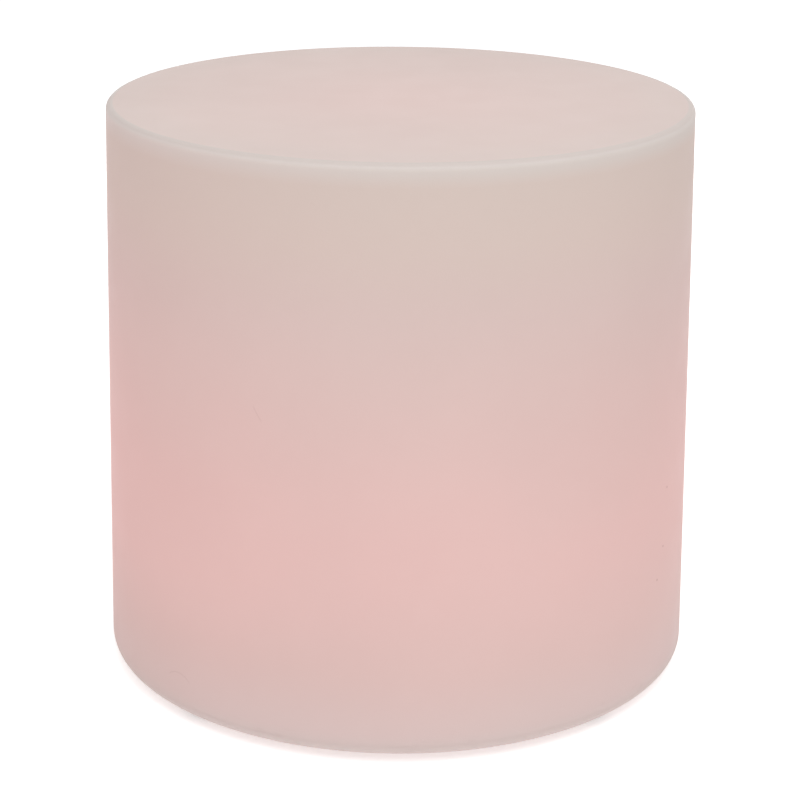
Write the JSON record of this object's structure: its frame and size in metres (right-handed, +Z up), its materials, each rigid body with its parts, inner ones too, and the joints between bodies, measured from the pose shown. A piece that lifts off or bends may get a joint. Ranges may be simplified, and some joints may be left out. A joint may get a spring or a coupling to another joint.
{
  "type": "light-up drum stool",
  "caption": "Hollow translucent drum stool that glows from inside, with a rechargeable lamp unit screwed into its recessed underside, a push button and a flap over the charging socket.",
  "frame": {"origin": "on the floor, under the middle of the drum", "axes": "+Z up through the middle of the seat, -Y towards the viewer in the picture, +X to the viewer's right"},
  "size_m": [0.4145, 0.4146, 0.4],
  "materials": {
    "shell_pe": "satin",
    "brass": "satin",
    "foot_rubber": "matte",
    "seal_silicone": "matte",
    "case_white": "satin",
    "steel": "satin",
    "dome_clear": "frosted",
    "board_white": "gloss",
    "led_case": "satin",
    "led_gel": "gloss",
    "black_plastic": "satin",
    "capacitor_can": "satin",
    "nylon": "satin",
    "wrap_blue": "gloss",
    "guard_green": "gloss",
    "foam_black": "matte",
    "cover_rubber": "matte",
    "button_grey": "satin",
    "pipe_clear": "polished",
    "wire_red": "satin",
    "wire_black": "satin",
    "wire_blue": "satin",
    "wire_white": "satin"
  },
  "bodies": {
    "stool": {"body_shell": "shell_pe", "shell_inserts": "brass", "foot_pad_1": "foot_rubber", "foot_pad_2": "foot_rubber", "foot_pad_3": "foot_rubber", "foot_pad_4": "foot_rubber", "module_gasket": "seal_silicone", "module_base": "case_white", "module_screws": "steel", "diffuser_dome": "dome_clear", "dome_seal": "seal_silicone", "dome_screws": "steel", "led_board": "board_white", "board_screws": "steel", "led_emitters": "led_case", "led_gel": "led_gel", "ir_receiver": "black_plastic", "controller_chip": "black_plastic", "controller_pins": "steel", "board_transistors": "black_plastic", "board_capacitors": "capacitor_can", "board_resistors": "black_plastic", "board_headers": "nylon", "lead_plugs": "nylon", "battery_cells": "steel", "battery_wrap": "wrap_blue", "battery_tabs": "steel", "battery_guard_board": "guard_green", "battery_foam": "foam_black", "battery_clamp": "nylon", "clamp_screws": "steel", "charge_jack": "black_plastic", "charge_jack_contacts": "brass", "charge_jack_nut": "steel", "charge_jack_washer": "seal_silicone", "cover_anchor": "cover_rubber", "button_housing": "black_plastic", "button_spring": "steel", "button_rear_plug": "black_plastic", "button_terminals": "brass", "button_nut": "steel", "button_washer": "seal_silicone", "indicator_light_pipe": "pipe_clear", "indicator_led": "led_case", "battery_lead_red": "wire_red", "battery_lead_black": "wire_black", "charge_lead_red": "wire_red", "charge_lead_black": "wire_black", "button_lead_blue": "wire_blue", "button_lead_white": "wire_white"},
    "power_button": {"button_cap": "button_grey", "button_contact": "brass"},
    "charge_flap": {"charge_cover": "cover_rubber"}
  },
  "joints": [
    {"name": "power_button_press", "type": "slide", "parent": "stool", "child": "power_button", "axis": [0, 0, 1], "range_m": [0, 0.0015], "stiffness_N_per_m": 900, "springref_m": -0.0005, "deforming": ["button_spring"]},
    {"name": "charge_flap_swing", "type": "hinge", "parent": "stool", "child": "charge_flap", "pos_m": [0.00865, -0.0304, 0.0295], "axis": [0, 1, 0], "range_deg": [0, 90]}
  ]
}
